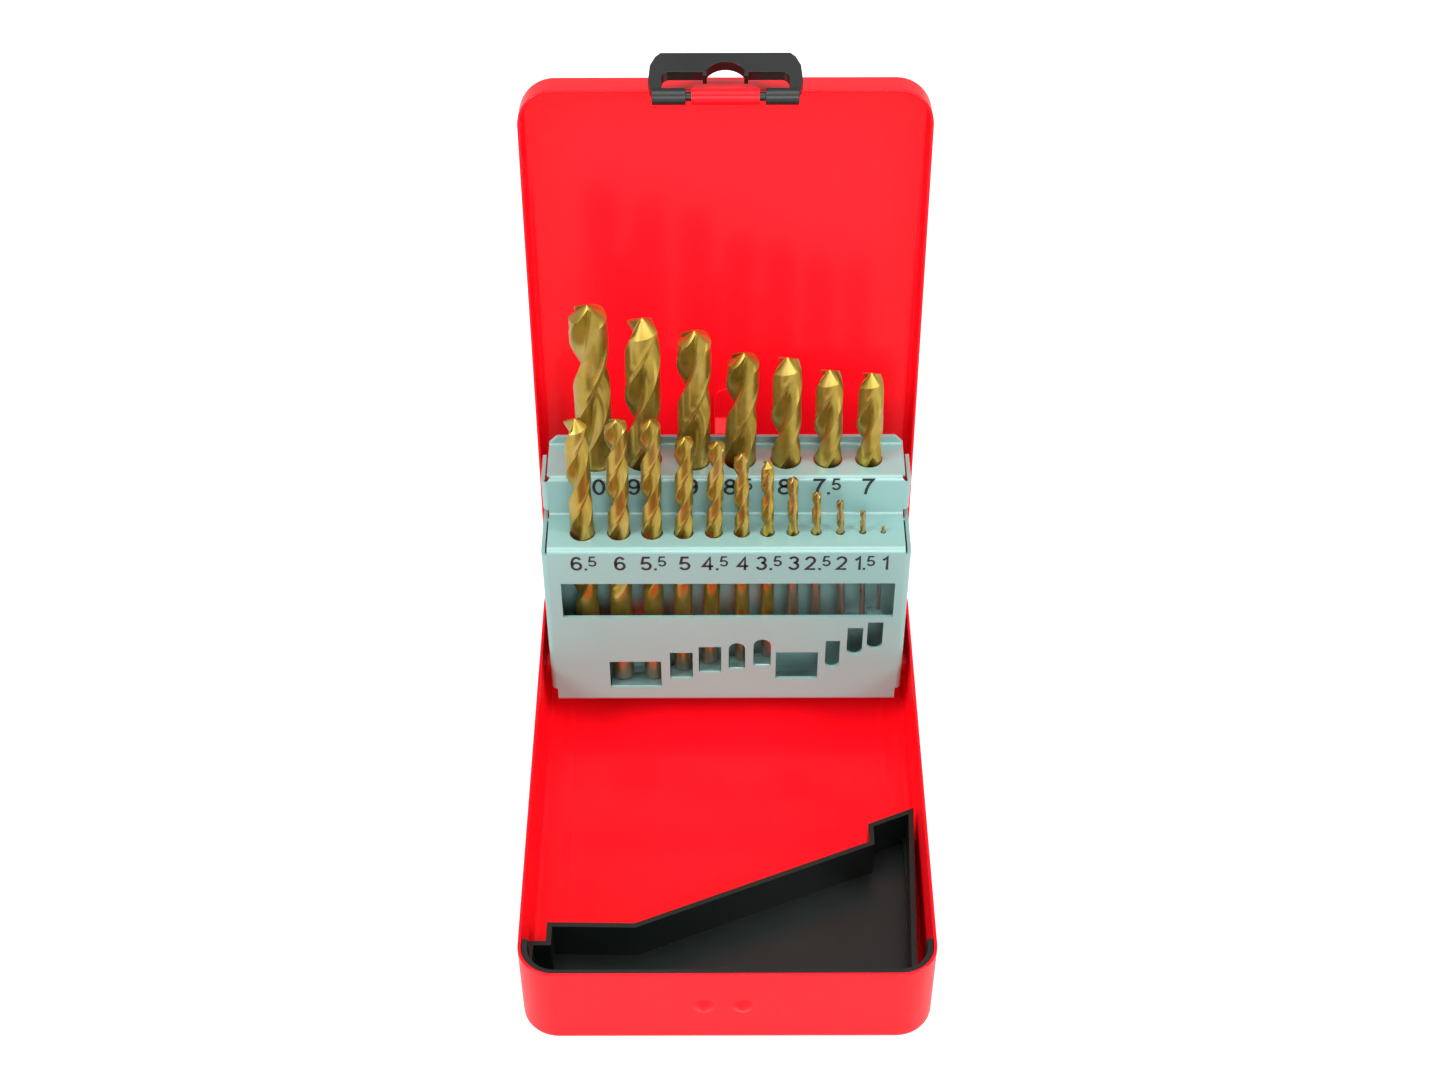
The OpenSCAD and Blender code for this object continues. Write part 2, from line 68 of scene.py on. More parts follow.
# Latch loop at the lid's far edge: its middle as (s, n), then as for the knuckles.
LOOP, LOOP_R, LOOP_T, LOOP_TURN, LOOP_HALF = (148.05, -10), 1.55, 0.84, 325, 8.3
# Easing of the strap, the insert, and the rivets and hinge wire.
STRAP_EASE, INSERT_EASE, WIRE_EASE = 0.38, 0.35, 0.15
# Printed numerals: a half digit, a stroke and a rear numeral as shares of the height, then
# the front row's height above the rack's lower edge, the rear row's above the front deck,
# their shifts across, and the ink's distance from the paint.
HALF_SHARE, STROKE, REAR_SHARE = 0.74, 0.15, 1.11
FRONT_PRINT_Z, REAR_PRINT_Z, FRONT_PRINT_X, REAR_PRINT_X, INK_GAP = 50.5, 6.7, 0.5, -0.3, 0.03
# Camera: place, tilt below the level, turn and roll in degrees, lens and shift.
CAMERA_AT, CAMERA_TILT, CAMERA_TURN, CAMERA_ROLL = (-1.1, -392.8, 458.17), 47.9, 0.1, -0.2
SENSOR, LENS, SHIFT_UP = 36, 54.06, 0.1589
# Lamps: name, place and size in metres, share of the key light's strength.
LAMPS = (("softbox_left", (-0.75, -0.5, 0.75), 0.4, 1.0),
         ("softbox_right", (0.75, -0.4, 0.7), 0.35, 0.7),
         ("softbox_front", (0.1, -0.95, 0.5), 0.5, 0.55),
         ("softbox_top", (0.0, -0.05, 1.2), 0.8, 0.7))
LAMPS_AIM = (0, 0, 0.06)

# Each drill: diameter, length, flute length, place across, row behind the plate, height of
# its foot, turn of the flutes at the tip in degrees, sideways lean of the tip.
DRILLS = (
    (10, 131, 85, -34.9, 22.4, 1.5, 70, -0.2), (9.5, 127, 82, -22.1, 22.4, 1.5, 165, 0.8),
    (9, 123, 79, -8.7, 22.4, 1.5, 75, 0.6), (8.5, 116, 74, 3.7, 22.4, 1.5, 72, 0.9),
    (8, 114.5, 72.5, 16.1, 22.4, 1.5, 145, -0.2), (7.5, 110.5, 69, 27.4, 22.4, 1.5, 147, -0.5),
    (7, 109.5, 69, 38.4, 22.4, 1.5, 145, -0.6),
    (6.5, 95.5, 64, -38.6, 7, 13.1, 0, -0.1), (6, 92, 60, -28.8, 7, 16.26, 62, 0.5),
    (5.5, 92, 59, -19.9, 7, 16.15, 78, 0.4), (5, 83, 50, -11.4, 7, 19.54, 75, 0.6),
    (4.5, 79.3, 45, -3.3, 7, 21.73, 68, 0.9), (4, 74, 41, 4.2, 7, 22.92, 70, -0.2),
    (3.5, 70.2, 42, 11.1, 7, 24.11, 150, -0.3), (3, 58.5, 29, 17.9, 7, 30.4, 90, -0.4),
    (2.5, 53.5, 25, 24.2, 7, 30.29, 60, -0.3), (2, 46.5, 19, 30.7, 7, 34.57, 70, -0.5),
    (1.5, 38, 15, 36.7, 7, 39.46, 70, -0.3), (1, 30.5, 9, 42.2, 7, 41.45, 60, 0),
)


def linear(hex_colour):
    """An sRGB hex colour as linear red, green and blue."""
    parts = [int(hex_colour[i:i + 2], 16) / 255 for i in (1, 3, 5)]
    return tuple(c / 12.92 if c <= 0.04045 else ((c + 0.055) / 1.055) ** 2.4 for c in parts)


# ---------------------------------------------------------------- properties

class DRILLCASE_PG_case(bpy.types.PropertyGroup):
    """Sizes of the case's pressed details."""
    corner: FloatProperty(name="Corner radius", description="Upright corners of both trays",
                          default=9.5 * MM, min=0.006, max=0.014, unit="LENGTH")
    edge: FloatProperty(name="Floor edge radius", description="Bend between floor and walls",
                        default=2.6 * MM, min=0.0015, max=0.004, unit="LENGTH")
    rim: FloatProperty(name="Rim easing", description="Rounding of the trays' rims",
                       default=0.3 * MM, min=0.0001, max=0.0004, unit="LENGTH")
    eased: FloatProperty(name="Sheet easing", description="Rounding of the rack's cut edges",
                         default=0.16 * MM, min=0.00005, max=0.0003, unit="LENGTH")
    moulded: FloatProperty(name="Moulded easing", description="Rounding of the plastic pieces",
                           default=0.45 * MM, min=0.0001, max=0.0008, unit="LENGTH")
    numeral: FloatProperty(name="Numeral height", description="Height of the printed numerals",
                           default=4.9 * MM, min=0.003, max=0.006, unit="LENGTH")


class DRILLCASE_PG_drill(bpy.types.PropertyGroup):
    """Grinding of the twist drills."""
    helix: FloatProperty(name="Helix", description="Angle of the flutes to the axis",
                         default=math.radians(28), min=math.radians(20),
                         max=math.radians(35), subtype="ANGLE")
    point: FloatProperty(name="Point angle", description="Full angle of the ground point",
                         default=math.radians(118), min=math.radians(90),
                         max=math.radians(140), subtype="ANGLE")
    relief: FloatProperty(name="Relief", description="Fall of the point behind its lips",
                          default=math.radians(14), min=0, max=math.radians(20),
                          subtype="ANGLE")
    step: IntProperty(name="Fineness", description="Degrees of twist between two sections",
                      default=8, min=4, max=20)


class DRILLCASE_PG_finish(bpy.types.PropertyGroup):
    """Colours of the finishes."""
    enamel: FloatVectorProperty(name="Enamel", description="Red of the trays", size=3,
                                subtype="COLOR", min=0, max=1, default=linear("#f40b1a"))
    rack: FloatVectorProperty(name="Rack paint", description="Grey-blue of the rack", size=3,
                              subtype="COLOR", min=0, max=1, default=linear("#789c98"))
    gold: FloatVectorProperty(name="Nitride", description="Gold of the drills", size=3,
                              subtype="COLOR", min=0, max=1, default=linear("#b09640"))
    plastic: FloatVectorProperty(name="Plastic", description="Black of insert and bail", size=3,
                                 subtype="COLOR", min=0, max=1, default=linear("#080f0d"))


class DRILLCASE_PG_stage(bpy.types.PropertyGroup):
    """Light on the case."""
    sky: FloatProperty(name="Sky", description="Strength of the surrounding light",
                       default=0.55, min=0, max=2)
    key: FloatProperty(name="Key light", description="Strength of the large soft lamp",
                       default=10.0, min=0, max=60, unit="POWER")


# ---------------------------------------------------------------- materials

def add_node(tree, kind, values=None, **settings):
    """Adds a node, sets its options, and sets or links each named or numbered input."""
    node = tree.nodes.new(kind)
    for key, value in settings.items():
        setattr(node, key, value)
    for key, value in (values or {}).items():
        if isinstance(value, bpy.types.NodeSocket):
            tree.links.new(value, node.inputs[key])
        else:
            node.inputs[key].default_value = value
    return node


def new_material(name):
    """A node material with its surface shader and the object's own coordinates. Of one that
    exists already only the material comes back."""
    material = bpy.data.materials.get(name)
    if material:
        return material, None, None, None
    material = bpy.data.materials.new(name)
    material.use_nodes = True
    tree = material.node_tree
    shader = tree.nodes["Principled BSDF"]
    place = add_node(tree, "ShaderNodeTexCoord").outputs["Object"]
    return material, tree, shader, place


def rgba(colour, factor=1.0):
    return (*(min(1, c * factor) for c in colour), 1)


def stoved_enamel(finish):
    """Gloss enamel, sprayed and stoved on sheet steel: deep even red under a clear, faintly
    rippled gloss."""
    material, tree, shader, place = new_material("stoved_red_enamel")
    if not tree:
        return material
    # Broad drift of the sprayed coat, 40 mm across, and orange peel of 1.6 mm cells.
    drift = add_node(tree, "ShaderNodeTexNoise", {"Vector": place, "Scale": 25.0, "Detail": 2.0})
    shade = add_node(tree, "ShaderNodeMix", {0: drift.outputs["Fac"],
                     6: rgba(finish.enamel, 0.9), 7: rgba(finish.enamel, 1.08)},
                     data_type="RGBA")
    peel = add_node(tree, "ShaderNodeTexNoise", {"Vector": place, "Scale": 620.0, "Detail": 1.0})
    bump = add_node(tree, "ShaderNodeBump", {"Height": peel.outputs["Fac"], "Strength": 0.25,
                    "Distance": 0.00004})
    rough = add_node(tree, "ShaderNodeMapRange", {"Value": drift.outputs["Fac"],
                     "To Min": 0.26, "To Max": 0.36})
    tree.links.new(shade.outputs[2], shader.inputs["Base Color"])
    tree.links.new(rough.outputs[0], shader.inputs["Roughness"])
    tree.links.new(bump.outputs[0], shader.inputs["Normal"])
    tree.links.new(bump.outputs[0], shader.inputs["Coat Normal"])
    shader.inputs["IOR"].default_value = 1.25
    shader.inputs["Coat Weight"].default_value = 0.06
    shader.inputs["Coat Roughness"].default_value = 0.08
    return material


def satin_paint(finish):
    """Satin polyester paint on the rack's sheet steel: pale grey-blue with a soft sheen and
    a fine powdery tooth."""
    material, tree, shader, place = new_material("satin_rack_paint")
    if not tree:
        return material
    # Drift of the coat, 25 mm across.
    drift = add_node(tree, "ShaderNodeTexNoise", {"Vector": place, "Scale": 40.0, "Detail": 3.0})
    shade = add_node(tree, "ShaderNodeMix", {0: drift.outputs["Fac"],
                     6: rgba(finish.rack, 0.93), 7: rgba(finish.rack, 1.05)},
                     data_type="RGBA")
    # Tooth of the paint, 0.7 mm cells: coarser than the real one so that it shows.
    tooth = add_node(tree, "ShaderNodeTexNoise", {"Vector": place, "Scale": 1400.0, "Detail": 2.0})
    bump = add_node(tree, "ShaderNodeBump", {"Height": tooth.outputs["Fac"], "Strength": 0.15,
                    "Distance": 0.00003})
    tree.links.new(shade.outputs[2], shader.inputs["Base Color"])
    tree.links.new(bump.outputs[0], shader.inputs["Normal"])
    shader.inputs["Roughness"].default_value = 0.32
    shader.inputs["IOR"].default_value = 1.5
    shader.inputs["Coat Weight"].default_value = 0.4
    shader.inputs["Coat Roughness"].default_value = 0.12
    return material


def moulded_plastic(finish, name, roughness):
    """Injection-moulded polypropylene: near black, satin, with a faint moulded grain."""
    material, tree, shader, place = new_material(name)
    if not tree:
        return material
    # Spark-eroded mould grain of 0.5 mm cells, drawn a little coarser than the real one, and
    # haze of 17 mm.
    grain = add_node(tree, "ShaderNodeTexNoise", {"Vector": place, "Scale": 2000.0, "Detail": 2.0})
    haze = add_node(tree, "ShaderNodeTexNoise", {"Vector": place, "Scale": 60.0, "Detail": 3.0})
    bump = add_node(tree, "ShaderNodeBump", {"Height": grain.outputs["Fac"], "Strength": 0.2,
                    "Distance": 0.00003})
    rough = add_node(tree, "ShaderNodeMapRange", {"Value": haze.outputs["Fac"],
                     "To Min": roughness - 0.05, "To Max": roughness + 0.07})
    shade = add_node(tree, "ShaderNodeMix", {0: haze.outputs["Fac"],
                     6: rgba(finish.plastic, 0.85), 7: rgba(finish.plastic, 1.2)},
                     data_type="RGBA")
    tree.links.new(shade.outputs[2], shader.inputs["Base Color"])
    tree.links.new(rough.outputs[0], shader.inputs["Roughness"])
    tree.links.new(bump.outputs[0], shader.inputs["Normal"])
    shader.inputs["IOR"].default_value = 1.49
    return material


def nitrided_steel(finish):
    """Titanium nitride coated in vacuum on ground high-speed steel: satin gold with browner
    clouds, fading to bare grey-brown steel where the mesh says so."""
    material, tree, shader, place = new_material("titanium_nitride_coating")
    if not tree:
        return material
    # Clouds of the coating, 5.5 mm across.
    cloud = add_node(tree, "ShaderNodeTexNoise", {"Vector": place, "Scale": 180.0, "Detail": 4.0})
    gold = add_node(tree, "ShaderNodeMix", {0: cloud.outputs["Fac"],
                    6: rgba(finish.gold, 0.5), 7: rgba(finish.gold, 1.3)}, data_type="RGBA")
    bare = add_node(tree, "ShaderNodeAttribute", attribute_name="bare")
    edge = add_node(tree, "ShaderNodeMath", {0: cloud.outputs["Fac"], 1: 0.5},
                    operation="SUBTRACT")
    soft = add_node(tree, "ShaderNodeMath", {0: edge.outputs[0], 1: 0.8, 2: bare.outputs["Fac"]},
                    operation="MULTIPLY_ADD", use_clamp=True)
    shade = add_node(tree, "ShaderNodeMix", {0: soft.outputs[0], 6: gold.outputs[2],
                     7: (*linear("#a09088"), 1)}, data_type="RGBA")
    # Grinding marks run round the drill, 0.25 mm apart.
    stretch = add_node(tree, "ShaderNodeMapping", {"Vector": place, "Scale": (300, 300, 4000)})
    marks = add_node(tree, "ShaderNodeTexNoise", {"Vector": stretch.outputs[0], "Scale": 1.0,
                     "Detail": 2.0})
    bump = add_node(tree, "ShaderNodeBump", {"Height": marks.outputs["Fac"], "Strength": 0.3,
                    "Distance": 0.00003})
    rough = add_node(tree, "ShaderNodeMapRange", {"Value": cloud.outputs["Fac"],
                     "To Min": 0.24, "To Max": 0.36})
    tree.links.new(shade.outputs[2], shader.inputs["Base Color"])
    tree.links.new(rough.outputs[0], shader.inputs["Roughness"])
    tree.links.new(bump.outputs[0], shader.inputs["Normal"])
    shader.inputs["Metallic"].default_value = 0.85
    return material


def plated_steel():
    """Zinc-plated wire: bright grey with a soft brushed sheen that drifts over 2 mm."""
    material, tree, shader, place = new_material("zinc_plated_steel")
    if not tree:
        return material
    cloud = add_node(tree, "ShaderNodeTexNoise", {"Vector": place, "Scale": 500.0, "Detail": 3.0})
    shade = add_node(tree, "ShaderNodeMix", {0: cloud.outputs["Fac"],
                     6: (*linear("#9b9a96"), 1), 7: (*linear("#c9c9c6"), 1)}, data_type="RGBA")
    rough = add_node(tree, "ShaderNodeMapRange", {"Value": cloud.outputs["Fac"],
                     "To Min": 0.3, "To Max": 0.45})
    tree.links.new(shade.outputs[2], shader.inputs["Base Color"])
    tree.links.new(rough.outputs[0], shader.inputs["Roughness"])
    shader.inputs["Metallic"].default_value = 1.0
    return material


def printing_ink():
    """Screen-printed epoxy ink: flat black, slightly uneven at its own grain of 1 mm."""
    material, tree, shader, place = new_material("screen_printed_ink")
    if not tree:
        return material
    cover = add_node(tree, "ShaderNodeTexNoise", {"Vector": place, "Scale": 1000.0, "Detail": 2.0})
    shade = add_node(tree, "ShaderNodeMix", {0: cover.outputs["Fac"],
                     6: (*linear("#0d0f10"), 1), 7: (*linear("#202426"), 1)}, data_type="RGBA")
    tree.links.new(shade.outputs[2], shader.inputs["Base Color"])
    shader.inputs["Roughness"].default_value = 0.5
    return material


# ---------------------------------------------------------------- shapes

def lid_point(x, s, n):
    """Where a point of the lid is: s along the lid from the hinge, n towards its panel."""
    a = math.radians(LID_OPEN)
    return (x, HINGE[0] + s * -math.cos(a) + n * math.sin(a),
            HINGE[1] + s * math.sin(a) + n * math.cos(a))


def base_point(x, s, n):
    return x, HINGE[0] - s, n


def make_piece(name, bm, material, body, *nodes, smooth=35):
    """Turns a bmesh in millimetres into a piece that rides on a body and stands for nodes."""
    bmesh.ops.recalc_face_normals(bm, faces=bm.faces)
    bmesh.ops.scale(bm, vec=(MM, MM, MM), verts=bm.verts)
    mesh = bpy.data.meshes.new(name)
    bm.to_mesh(mesh)
    bm.free()
    return dress(name, mesh, material, body, *nodes, smooth=smooth)


def dress(name, mesh, material, body, *nodes, smooth=35):
    mesh.polygons.foreach_set("use_smooth", [True] * len(mesh.polygons))
    if smooth:
        mesh.set_sharp_from_angle(angle=math.radians(smooth))
    mesh.materials.clear()
    mesh.materials.append(material)
    piece = bpy.data.objects.new(name, mesh)
    bpy.context.scene.collection.objects.link(piece)
    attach(piece, body)
    if nodes:
        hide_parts(*nodes)
    return piece


def corner_loop(half_w, half_l, radius, steps=12):
    """A rectangle with rounded corners, as points anticlockwise."""
    radius = max(0.05, min(radius, half_w, half_l))
    loop = []
    for sx, sy, start in ((1, 1, 0), (-1, 1, 90), (-1, -1, 180), (1, -1, 270)):
        for i in range(steps + 1):
            a = math.radians(start + 90 * i / steps)
            loop.append((sx * (half_w - radius) + radius * math.cos(a),
                         sy * (half_l - radius) + radius * math.sin(a)))
    return loop


def skin(bm, loops, close=True):
    """Joins loops of equally many points into a skin, and closes its ends."""
    rows = [[bm.verts.new(p) for p in loop] for loop in loops]
    count = len(rows[0])
    for a, b in zip(rows, rows[1:]):
        for i in range(count):
            j = (i + 1) % count
            bm.faces.new((a[i], a[j], b[j], b[i]))
    if close:
        bm.faces.new(list(reversed(rows[0])))
        bm.faces.new(rows[-1])
    return rows


def pressed_tray(bm, sizes, height, floor, place, panel):
    """A drawn tray: its floor at `floor` with a pressed middle panel, walls to `height`."""
    r, e, rim = sizes.corner / MM, sizes.edge / MM, sizes.rim / MM
    half_w, half_l = CASE_W / 2, (CASE_L - BACK) / 2
    rings = []
    if panel:
        rings += [(8, 0.0, 9.5), (7.6, 0.03, 9.6), (7.2, floor - 0.03, 9.8), (6.8, floor, 10)]
    for i in range(7):
        a = math.radians(90 * i / 6)
        rings.append((e - e * math.sin(a), floor + e - e * math.cos(a), r - e + e * math.sin(a)))
    for i in range(5):
        a = math.radians(90 * i / 4)
        rings.append((rim - rim * math.cos(a), height - rim + rim * math.sin(a), r))
    for i in range(5):
        a = math.radians(90 * i / 4)
        rings.append((SHEET - rim + rim * math.sin(a), height - rim + rim * math.cos(a),
                      r - SHEET))
    inner = e - SHEET
    for i in range(7):
        a = math.radians(90 * i / 6)
        rings.append((SHEET + inner - inner * math.cos(a), floor + e - inner * math.sin(a),
                      r - SHEET - inner + inner * math.cos(a)))
    if panel:
        rings += [(6.9, floor + SHEET, 9.9), (7.3, floor + SHEET - 0.04, 9.7),
                  (8.9, SHEET + 0.04, 9.4), (9.3, SHEET, 9.2)]
    loops = []
    for inset, z, radius in rings:
        points = corner_loop(half_w - inset, half_l - inset, radius)
        loops.append([place(x, BACK + half_l - y, z) for x, y in points])
    skin(bm, loops)


def rolled_strip(bm, path, thickness, x0, x1, place):
    """Sheet of a thickness that follows a path of (s, n) points, between x0 and x1."""
    left, right = [], []
    for i, p in enumerate(path):
        a, b = path[max(0, i - 1)], path[min(len(path) - 1, i + 1)]
        d = Vector((b[0] - a[0], b[1] - a[1])).normalized() * thickness / 2
        left.append((p[0] - d[1], p[1] + d[0]))
        right.append((p[0] + d[1], p[1] - d[0]))
    outline = left + right[::-1]
    loops = [[place(x, s, n) for s, n in outline] for x in (x0, x1)]
    rows = skin(bm, loops, close=False)
    for row, flip in ((rows[0], True), (rows[1], False)):
        for i in range(len(left) - 1):
            quad = (row[i], row[i + 1], row[-2 - i], row[-1 - i])
            bm.faces.new(quad[::-1] if flip else quad)


def curl(start, centre, radius, begin, turn, steps=28):
    """A path that starts at a point and then wraps round a centre."""
    path = [start]
    for i in range(steps + 1):
        a = math.radians(begin + turn * i / steps)
        path.append((centre[0] + radius * math.cos(a), centre[1] + radius * math.sin(a)))
    return path


def dimple(bm, x, z, radius, rise, place, surface):
    """A round dimple pressed outwards through the front wall."""
    rings = []
    for i in range(7):
        t = i / 6
        h = rise * (1 - (3 - 2 * t) * t * t) - 0.05 * t
        rings.append([place(x + radius * t * math.cos(math.radians(a)), surface + h,
                            z + radius * t * math.sin(math.radians(a)))
                      for a in range(0, 360, 15)] if i else None)
    rows = skin(bm, rings[1:], close=False)
    top = bm.verts.new(place(x, surface + rise, z))
    for i, v in enumerate(rows[0]):
        bm.faces.new((top, v, rows[0][(i + 1) % len(rows[0])]))


def eased_copy(name, node, width, material, body, segments=2, angle=32):
    """A copy of a node's solid with its cut edges rounded."""
    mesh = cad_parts[node].data.copy()
    bm = bmesh.new()
    bm.from_mesh(mesh)
    bmesh.ops.remove_doubles(bm, verts=bm.verts, dist=3e-6)
    bmesh.ops.dissolve_limit(bm, angle_limit=math.radians(1), verts=bm.verts, edges=bm.edges)
    bm.to_mesh(mesh)
    bm.free()
    piece = dress(name, mesh, material, body, node, smooth=0)
    bevel = piece.modifiers.new("Rounded edges", "BEVEL")
    bevel.width, bevel.segments = width, segments
    bevel.limit_method, bevel.angle_limit = "ANGLE", math.radians(angle)
    piece.modifiers.new("Even shading", "WEIGHTED_NORMAL").keep_sharp = True
    return piece


# Angle from the cutting lip and share of the radius, round one flute and its land. The
# ground face behind the lip starts at LAND.
LAND = 92
FLUTE = ((0, 1.0), (4, 0.93), (7, 0.80), (10, 0.64), (14, 0.48), (20, 0.36), (29, 0.27),
         (40, 0.23), (51, 0.26), (61, 0.36), (70, 0.50), (77, 0.65), (83, 0.79), (88, 0.90),
         (92, 0.965), (104, 0.968), (118, 0.97), (133, 0.97), (148, 0.97), (163, 0.97),
         (167, 1.0), (174, 1.0))


def twist_drill(sizes, d, length, flute, turn, step):
    """The mesh of a twist drill that stands on its shank end at the origin."""
    r = d / 2
    lead = math.pi * d / math.tan(sizes.helix)
    slope = 1 / math.tan(sizes.point / 2)
    section = [(a + half, share, 180 - a if a >= LAND else 0)
               for half in (0, 180) for a, share in FLUTE]
    chamfer = 0.3 * min(1, r / 2)
    shank = length - flute
    top = length - slope * r

    def at(angle, share, z):
        a = math.radians(angle + turn + (max(z, shank) - length) / lead * 360)
        return (share * r * math.cos(a), share * r * math.sin(a), z)

    def point_height(share, behind):
        return (length - slope * share * r
                - share * r * math.radians(behind) * math.tan(sizes.relief))

    rows = [[at(a, (r - chamfer) / r, 0) for a, s, b in section],
            [at(a, 1, chamfer) for a, s, b in section]]
    for i in range(1, 5):
        z = chamfer + (shank - 0.5) * i / 4
        rows.append([at(a, 1, z) for a, s, b in section])
    count = max(10, round((top - shank) / lead * 360 / step))
    runout = min(1.3 * d, flute * 0.4)
    last = top - 0.35 * r
    for i in range(1, count + 1):
        z = shank + (last - shank) * i / count
        k = math.sin(min(1, (z - shank) / runout) * math.pi / 2)
        rows.append([at(a, 1 + (s - 1) * k, z) for a, s, b in section])
    ends = [point_height(s, b) for a, s, b in section]
    for t in (0.5, 1):
        rows.append([at(a, s, last + (e - last) * t) for (a, s, b), e in zip(section, ends)])
    for share in (0.72, 0.45, 0.2):
        row = []
        for (a, s, b), e in zip(section, ends):
            x, y, z = at(a, s * share, e)
            row.append((x, y, point_height(s * share, b)))
        rows.append(row)
    return rows


# ---------------------------------------------------------------- operators

class DRILLCASE_OT_base(bpy.types.Operator):
    """Build the base tray with its front dimples and hinge knuckles"""
    bl_idname = "drillcase.base"
    bl_label = "Base tray"

    def execute(self, context):
        sizes, finish = context.scene.drillcase_case, context.scene.drillcase_finish
        enamel = stoved_enamel(finish)
        bm = bmesh.new()
        pressed_tray(bm, sizes, BASE_H, BASE_FLOOR, base_point, True)
        for x in DIMPLES_X:
            dimple(bm, x, DIMPLE_Z, DIMPLE_R, DIMPLE_RISE, base_point, CASE_L)
        for x in KNUCKLES_X:
            path = curl((BACK + 0.5, HINGE[1] - KNUCKLE_R), (0, HINGE[1]), KNUCKLE_R, 270,
                        -KNUCKLE_TURN)
            rolled_strip(bm, path, KNUCKLE_T, x - BASE_KNUCKLE, x + BASE_KNUCKLE, base_point)
        piece = make_piece("base_tray", bm, enamel, "base", "base_shell")
        piece.modifiers.new("Even shading", "WEIGHTED_NORMAL").keep_sharp = True
        return {"FINISHED"}


class DRILLCASE_OT_lid(bpy.types.Operator):
    """Build the lid tray with its rolled latch loop, hinge knuckle and strap"""
    bl_idname = "drillcase.lid"
    bl_label = "Lid tray"

    def execute(self, context):
        sizes, finish = context.scene.drillcase_case, context.scene.drillcase_finish
        enamel = stoved_enamel(finish)
        bm = bmesh.new()
        top = LID_GAP + LID_H
        pressed_tray(bm, sizes, LID_H, 0, lambda x, s, n: lid_point(x, s, top - n), False)
        path = curl((BACK + 0.5, KNUCKLE_R), (0, 0), KNUCKLE_R, 90, KNUCKLE_TURN)
        rolled_strip(bm, path, KNUCKLE_T, -LID_KNUCKLE, LID_KNUCKLE, lid_point)
        tongue = [(CASE_L + 0.1, 4.4), (CASE_L + 0.55, 3.8), (CASE_L + 0.95, 3.0),
                  (CASE_L + 1.0, 1.5)]
        loop = curl((CASE_L + 1.0, -6), LOOP, LOOP_R, 180, LOOP_TURN)
        rolled_strip(bm, tongue + loop, LOOP_T, -LOOP_HALF, LOOP_HALF, lid_point)
        piece = make_piece("lid_tray", bm, enamel, "lid", "lid_shell")
        piece.modifiers.new("Even shading", "WEIGHTED_NORMAL").keep_sharp = True
        strap = eased_copy("lid_strap_plate", "lid_strap", STRAP_EASE * MM, enamel, "lid")
        return {"FINISHED"}


class DRILLCASE_OT_plastic(bpy.types.Operator):
    """Build the moulded latch bail and the storage insert"""
    bl_idname = "drillcase.plastic"
    bl_label = "Bail and insert"

    def execute(self, context):
        sizes, finish = context.scene.drillcase_case, context.scene.drillcase_finish
        bail = eased_copy("bail_handle", "latch_bail", sizes.moulded,
                          moulded_plastic(finish, "moulded_bail_plastic", 0.36), "bail", 3)
        tray = eased_copy("insert_pocket", "storage_insert", INSERT_EASE * MM,
                          moulded_plastic(finish, "moulded_insert_plastic", 0.3), "base", 3)
        return {"FINISHED"}


class DRILLCASE_OT_rack(bpy.types.Operator):
    """Build the folded drill rack, its inner sheet, its rivets and the hinge wire"""
    bl_idname = "drillcase.rack"
    bl_label = "Drill rack"

    def execute(self, context):
        sizes, finish = context.scene.drillcase_case, context.scene.drillcase_finish
        rack = eased_copy("rack_plate", "drill_rack", sizes.eased, satin_paint(finish), "rack")
        sheet = eased_copy("rack_back_sheet", "rack_divider", sizes.eased, satin_paint(finish),
                           "rack")
        rivets = eased_copy("pivot_rivets", "rack_pivots", WIRE_EASE * MM,
                            stoved_enamel(finish), "base")
        wire = eased_copy("hinge_wire", "hinge_pin", WIRE_EASE * MM, plated_steel(), "base")
        return {"FINISHED"}


def arc(x, y, rx, ry, begin, end, steps=18):
    """Points on an ellipse from one angle to another."""
    angles = [math.radians(begin + (end - begin) * i / steps) for i in range(steps + 1)]
    return [(x + rx * math.cos(a), y + ry * math.sin(a)) for a in angles]


# The middle lines of the digits' strokes, for a numeral 1 high.
STROKES = {
    "0": [arc(0.33, 0.5, 0.25, 0.435, 0, 360, 36)],
    "1": [[(0.1, 0.72), (0.24, 0.8), (0.35, 0.94), (0.35, 0)]],
    "2": [arc(0.32, 0.7, 0.235, 0.235, 170, -30) + [(0.3, 0.28), (0.08, 0.065), (0.59, 0.065)]],
    "3": [arc(0.31, 0.735, 0.21, 0.2, 160, -90) + arc(0.31, 0.3, 0.24, 0.235, 90, -165)],
    "4": [[(0.44, 0), (0.44, 0.92), (0.06, 0.29), (0.62, 0.29)]],
    "5": [[(0.55, 0.935), (0.18, 0.935), (0.1, 0.5)] + arc(0.32, 0.31, 0.245, 0.245, 130, -160)],
    "6": [arc(0.33, 0.31, 0.24, 0.245, 0, 360, 30), arc(0.34, 0.5, 0.26, 0.435, 40, 195)],
    "7": [[(0.06, 0.935), (0.58, 0.935), (0.42, 0.68), (0.3, 0.36), (0.24, 0)]],
    "8": [arc(0.33, 0.735, 0.205, 0.2, 0, 360, 28), arc(0.33, 0.285, 0.25, 0.225, 0, 360, 30)],
    "9": [arc(0.33, 0.69, 0.24, 0.245, 0, 360, 30), arc(0.32, 0.5, 0.26, 0.435, -140, 15)],
    ".": [[(0.02, 0.07), (0.17, 0.07)]],
}
ADVANCE = {"1": 0.5, ".": 0.22}


